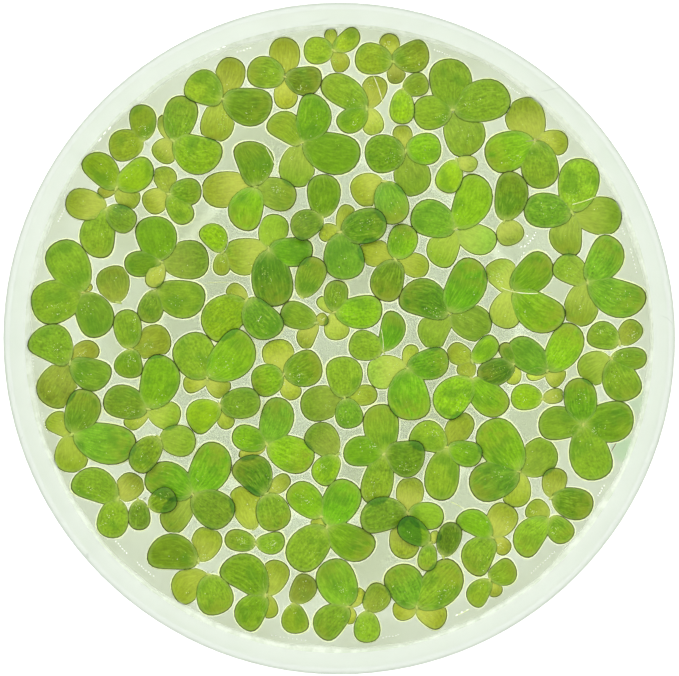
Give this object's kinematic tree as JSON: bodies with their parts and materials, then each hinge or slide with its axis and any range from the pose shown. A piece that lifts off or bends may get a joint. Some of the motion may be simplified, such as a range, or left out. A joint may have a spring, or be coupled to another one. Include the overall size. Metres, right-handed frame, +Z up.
{
  "type": "bowl of giant duckweed",
  "caption": "Round milky plastic bowl of water covered with floating giant duckweed: small colonies of flat oval green fronds, each with a tuft of fine hanging roots.",
  "frame": {"origin": "centre of the foot ring's underside on the bowl's axis, the middle of the bottom of the bounding box", "axes": "+Z up along the bowl's axis, out of its mouth; +X to the right and +Y to the top of the picture, which looks straight down"},
  "size_m": [0.12, 0.12, 0.044],
  "materials": {
    "plastic": "thin milky moulded plastic, satin to glossy",
    "water": "clear still water with a faint green tint",
    "duckweed": "living frond, wet and waxy, light passes through it"
  },
  "bodies": {
    "root": {"bowl": "plastic", "water": "water", "duckweed_01": "duckweed", "duckweed_02": "duckweed", "duckweed_03": "duckweed", "duckweed_04": "duckweed", "duckweed_05": "duckweed", "duckweed_06": "duckweed", "duckweed_07": "duckweed", "duckweed_08": "duckweed", "duckweed_09": "duckweed", "duckweed_10": "duckweed", "duckweed_11": "duckweed", "duckweed_12": "duckweed", "duckweed_13": "duckweed", "duckweed_14": "duckweed", "duckweed_15": "duckweed", "duckweed_16": "duckweed", "duckweed_17": "duckweed", "duckweed_18": "duckweed", "duckweed_19": "duckweed", "duckweed_20": "duckweed", "duckweed_21": "duckweed", "duckweed_22": "duckweed", "duckweed_23": "duckweed", "duckweed_24": "duckweed", "duckweed_25": "duckweed", "duckweed_26": "duckweed", "duckweed_27": "duckweed", "duckweed_28": "duckweed", "duckweed_29": "duckweed", "duckweed_30": "duckweed", "duckweed_31": "duckweed", "duckweed_32": "duckweed", "duckweed_33": "duckweed", "duckweed_34": "duckweed", "duckweed_35": "duckweed", "duckweed_36": "duckweed", "duckweed_37": "duckweed", "duckweed_38": "duckweed", "duckweed_39": "duckweed", "duckweed_40": "duckweed", "duckweed_41": "duckweed", "duckweed_42": "duckweed", "duckweed_43": "duckweed", "duckweed_44": "duckweed", "duckweed_45": "duckweed", "duckweed_46": "duckweed", "duckweed_47": "duckweed", "duckweed_48": "duckweed", "duckweed_49": "duckweed", "duckweed_50": "duckweed", "duckweed_51": "duckweed", "duckweed_52": "duckweed", "duckweed_53": "duckweed", "duckweed_54": "duckweed", "duckweed_55": "duckweed", "duckweed_56": "duckweed", "duckweed_57": "duckweed", "duckweed_58": "duckweed"}
  },
  "joints": []
}
